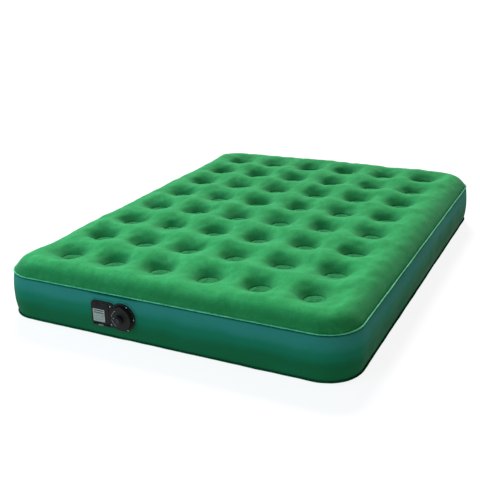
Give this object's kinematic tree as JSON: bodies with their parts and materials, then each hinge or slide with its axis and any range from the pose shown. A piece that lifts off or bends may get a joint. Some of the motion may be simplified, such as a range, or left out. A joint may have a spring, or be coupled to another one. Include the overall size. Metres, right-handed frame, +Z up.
{
  "type": "air mattress",
  "caption": "Flocked inflatable mattress with a dimpled top over round coils, smooth side wall, and a built-in battery pump with dial valve and battery door in the foot wall.",
  "frame": {"origin": "on the floor under the middle of the mattress, where the bottom sheet lies flat between four coils", "axes": "+Z up, +Y towards the head end, -Y towards the foot wall that holds the pump, +X across the bed to the right of someone facing the head end"},
  "size_m": [1.511, 2.08, 0.26],
  "materials": {
    "flock": "short velvet flock, matt",
    "side_vinyl": "smooth PVC sheet, satin to semi-gloss",
    "base_vinyl": "embossed PVC sheet, matt",
    "seam_bead": "welded PVC edge, satin",
    "coil_vinyl": "PVC sheet, matt",
    "black_plastic": "fine moulded grain, satin",
    "grey_plastic": "moulded, satin",
    "black_rubber": "moulded silicone, matt",
    "steel": "plated",
    "brass": "stamped sheet, plated",
    "battery_can": "printed film over a steel can, satin",
    "label": "printed film label, satin",
    "red_lead": "insulated lead",
    "black_lead": "insulated lead"
  },
  "bodies": {
    "mattress": {"top_sheet": "flock", "bottom_sheet": "base_vinyl", "side_wall": "side_vinyl", "top_seam_bead": "seam_bead", "bottom_seam_bead": "side_vinyl", "pump_collar": "side_vinyl", "face_gasket": "black_rubber", "pump_housing": "black_plastic", "face_plate": "black_plastic", "door_hinge_pin": "steel", "bay_contact_positive": "brass", "bay_contact_negative": "brass", "bay_contact_bridge": "brass", "dial_seal": "black_rubber", "valve_sleeve": "grey_plastic", "switch_bracket": "steel", "power_switch": "black_plastic", "blower_cover": "grey_plastic", "blower_scroll": "grey_plastic", "motor": "steel", "motor_clamp": "grey_plastic", "flap_pin": "steel", "lead_battery_switch": "red_lead", "lead_switch_motor": "red_lead", "lead_motor_battery": "black_lead", "coil_row_1": "coil_vinyl", "coil_row_2": "coil_vinyl", "coil_row_3": "coil_vinyl", "coil_row_4": "coil_vinyl", "coil_row_5": "coil_vinyl", "coil_row_6": "coil_vinyl", "coil_row_7": "coil_vinyl", "coil_row_8": "coil_vinyl", "face_screw_1": "steel", "face_screw_2": "steel", "face_screw_3": "steel", "face_screw_4": "steel", "face_screw_5": "steel", "battery_1": "battery_can", "battery_2": "battery_can", "cell_spring_2": "steel", "battery_3": "battery_can", "battery_4": "battery_can", "cell_spring_4": "steel"},
    "battery_door": {"battery_door": "black_plastic", "door_label": "label", "door_contact_upper": "brass", "door_contact_lower": "brass", "cell_spring_1": "steel", "cell_spring_3": "steel"},
    "dial": {"dial": "black_plastic", "valve_drum": "grey_plastic", "button_spring": "steel"},
    "power_button": {"power_button": "grey_plastic"},
    "impeller": {"impeller": "grey_plastic", "motor_shaft": "steel"},
    "check_flap": {"check_flap": "black_rubber"}
  },
  "joints": [
    {"name": "door_hinge", "type": "hinge", "parent": "mattress", "child": "battery_door", "pos_m": [-0.244, -1.0308, 0.0664], "axis": [1, 0, 0], "range_deg": [0, 105]},
    {"name": "dial_turn", "type": "hinge", "parent": "mattress", "child": "dial", "pos_m": [-0.148, -1.0274, 0.112], "axis": [0, -1, 0], "range_deg": [-45, 45]},
    {"name": "button_press", "type": "slide", "parent": "dial", "child": "power_button", "axis": [0, 1, 0], "range_m": [0, 0.003], "stiffness_N_per_m": 400, "springref_m": -0.0005, "deforming": ["button_spring"]},
    {"name": "impeller_spin", "type": "hinge", "parent": "mattress", "child": "impeller", "pos_m": [-0.148, -0.979, 0.112], "axis": [0, -1, 0], "continuous": true},
    {"name": "flap_swing", "type": "hinge", "parent": "mattress", "child": "check_flap", "pos_m": [-0.148, -0.9245, 0.098], "axis": [1, 0, 0], "range_deg": [0, 40], "stiffness_Nm_per_rad": 0.002, "springref_deg": -5.73}
  ]
}
